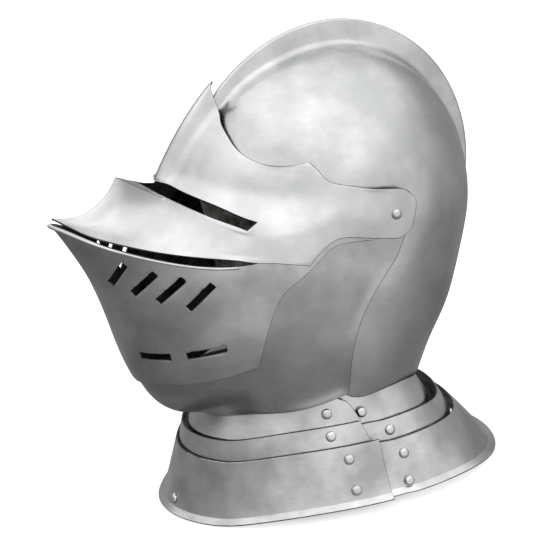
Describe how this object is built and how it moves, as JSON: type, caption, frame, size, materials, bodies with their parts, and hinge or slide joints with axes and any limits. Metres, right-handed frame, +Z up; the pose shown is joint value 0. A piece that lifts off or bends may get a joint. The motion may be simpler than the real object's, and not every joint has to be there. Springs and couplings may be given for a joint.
{
  "type": "close helmet",
  "caption": "Polished steel head armour: combed skull, lifting visor with a narrow sight, pierced face plate and chin plate, over a flared neck guard of overlapping plates.",
  "frame": {"origin": "middle of the bounding box, on the surface that the gorget stands on", "axes": "+X the wearer's left, -Y the way the face looks, +Z up"},
  "size_m": [0.2138, 0.3474, 0.3472],
  "materials": {
    "skull": "bright satin steel, planished and polished",
    "visor": "bright satin steel, planished and polished",
    "ventail": "bright satin steel with fine scratches",
    "bevor": "bright satin steel with fine scratches",
    "gorget": "satin steel, a little duller than the skull",
    "rivets": "domed steel rivet heads",
    "pivots": "domed steel pivot heads"
  },
  "bodies": {
    "skull_body": {"skull": "skull", "rear_lame_upper": "gorget", "rear_lame_middle": "gorget", "rear_lame_lower": "gorget", "pivot_left": "pivots", "pivot_right": "pivots", "rear_rivet_upper_left": "rivets", "rear_rivet_upper_right": "rivets", "rear_rivet_middle_left": "rivets", "rear_rivet_middle_right": "rivets", "rear_rivet_lower_high_left": "rivets", "rear_rivet_lower_high_right": "rivets", "rear_rivet_lower_low_left": "rivets", "rear_rivet_lower_low_right": "rivets"},
    "bevor_body": {"bevor": "bevor", "front_lame_upper": "gorget", "front_lame_middle": "gorget", "front_lame_lower": "gorget", "front_rivet_upper_left": "rivets", "front_rivet_upper_right": "rivets", "front_rivet_middle_left": "rivets", "front_rivet_middle_right": "rivets", "front_rivet_lower_high_left": "rivets", "front_rivet_lower_high_right": "rivets", "front_rivet_lower_low_left": "rivets", "front_rivet_lower_low_right": "rivets", "front_rivet_centre": "rivets"},
    "ventail_body": {"ventail": "ventail"},
    "visor_body": {"visor": "visor"}
  },
  "joints": [
    {"name": "bevor_hinge", "type": "hinge", "parent": "skull_body", "child": "bevor_body", "pos_m": [0, 0.0498, 0.224], "axis": [-1, 0, 0], "range_deg": [0, 45]},
    {"name": "ventail_hinge", "type": "hinge", "parent": "bevor_body", "child": "ventail_body", "pos_m": [0, 0.0498, 0.224], "axis": [-1, 0, 0], "range_deg": [0, 30]},
    {"name": "visor_hinge", "type": "hinge", "parent": "ventail_body", "child": "visor_body", "pos_m": [0, 0.0498, 0.224], "axis": [-1, 0, 0], "range_deg": [0, 50]}
  ]
}
